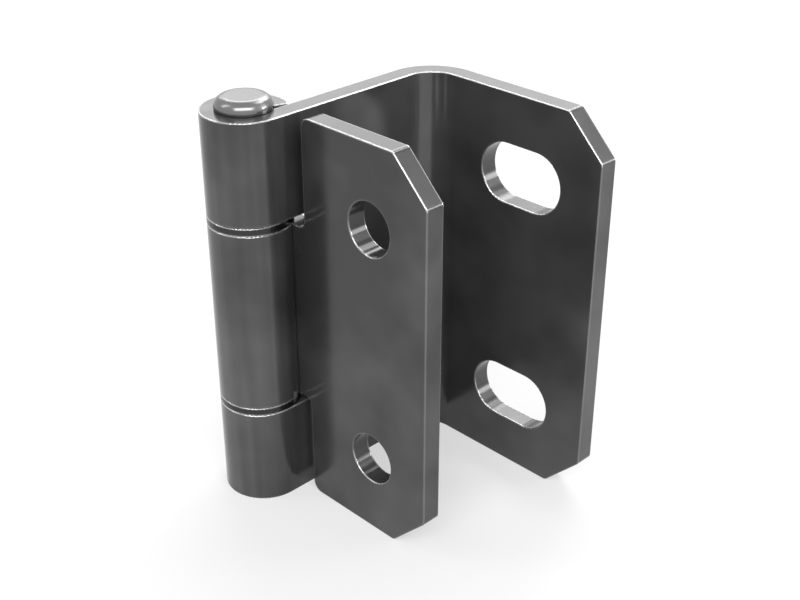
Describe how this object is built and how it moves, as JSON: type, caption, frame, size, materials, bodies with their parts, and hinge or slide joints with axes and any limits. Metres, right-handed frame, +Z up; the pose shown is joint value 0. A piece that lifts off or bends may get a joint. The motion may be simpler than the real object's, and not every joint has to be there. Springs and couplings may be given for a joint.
{
  "type": "barrel hinge",
  "caption": "Steel barrel hinge with a plain leaf and a folded offset leaf, slotted, turning on a headed pin between thrust washers.",
  "frame": {"origin": "on the pin's axis in the plane of the hinge's foot, where the pin's plain end lies flush with the lower knuckle", "axes": "+Z up the pin towards its head, +X from the barrel along both plates to their free edges, +Y from the plain leaf to the slotted plate of the folded leaf"},
  "size_m": [0.036, 0.0322, 0.0515],
  "materials": {
    "leaf_steel": "satin",
    "pin_steel": "polished",
    "washer_steel": "satin"
  },
  "bodies": {
    "folded_side": {"folded_leaf": "leaf_steel", "hinge_pin": "pin_steel", "upper_washer": "washer_steel", "lower_washer": "washer_steel"},
    "plain_side": {"plain_leaf": "leaf_steel"}
  },
  "joints": [
    {"name": "leaf_swing", "type": "hinge", "parent": "folded_side", "child": "plain_side", "pos_m": [0, 0, 0.025], "axis": [0, 0, 1], "range_deg": [-282, 14]}
  ]
}
